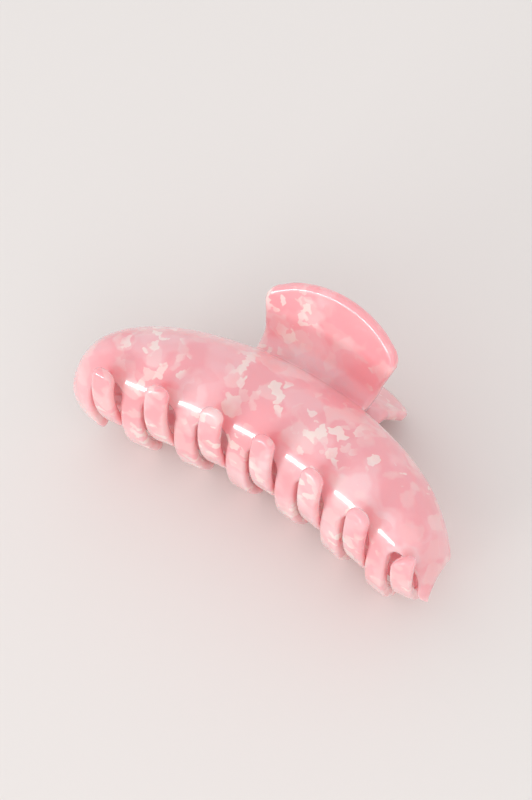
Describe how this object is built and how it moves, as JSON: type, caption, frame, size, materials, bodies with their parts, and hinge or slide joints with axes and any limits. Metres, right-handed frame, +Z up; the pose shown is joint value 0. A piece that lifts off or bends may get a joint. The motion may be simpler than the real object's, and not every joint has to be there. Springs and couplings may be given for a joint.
{
  "type": "hair claw clip",
  "caption": "Large spring-loaded hair claw of marbled acetate with interlocking curved teeth and a fan-shaped handle on each jaw.",
  "frame": {"origin": "centre of the bounding box's bottom face, on the surface that the clip lies on", "axes": "+X along the clip, +Y from the teeth towards the handles, +Z up; the clip lies closed on its lower jaw's belly and lower handle's edge"},
  "size_m": [0.1078, 0.0534, 0.0474],
  "materials": {
    "marbled_acetate": "pink acetate with pearly flakes, polished",
    "plain_acetate": "pink acetate, polished",
    "pin_steel": "plated steel wire",
    "spring_steel": "plated spring wire"
  },
  "bodies": {
    "lower": {"lower_jaw": "marbled_acetate", "lower_ear_left": "plain_acetate", "lower_ear_right": "plain_acetate", "hinge_pin": "pin_steel", "hinge_spring": "spring_steel"},
    "upper": {"upper_jaw": "marbled_acetate", "upper_ear_left": "plain_acetate", "upper_ear_right": "plain_acetate"}
  },
  "joints": [
    {"name": "jaw_open", "type": "hinge", "parent": "lower", "child": "upper", "pos_m": [0, 0.00668, 0.0232], "axis": [-1, 0, 0], "range_deg": [0, 68], "stiffness_Nm_per_rad": 0.08, "springref_deg": -85.94, "deforming": ["hinge_spring"]}
  ]
}
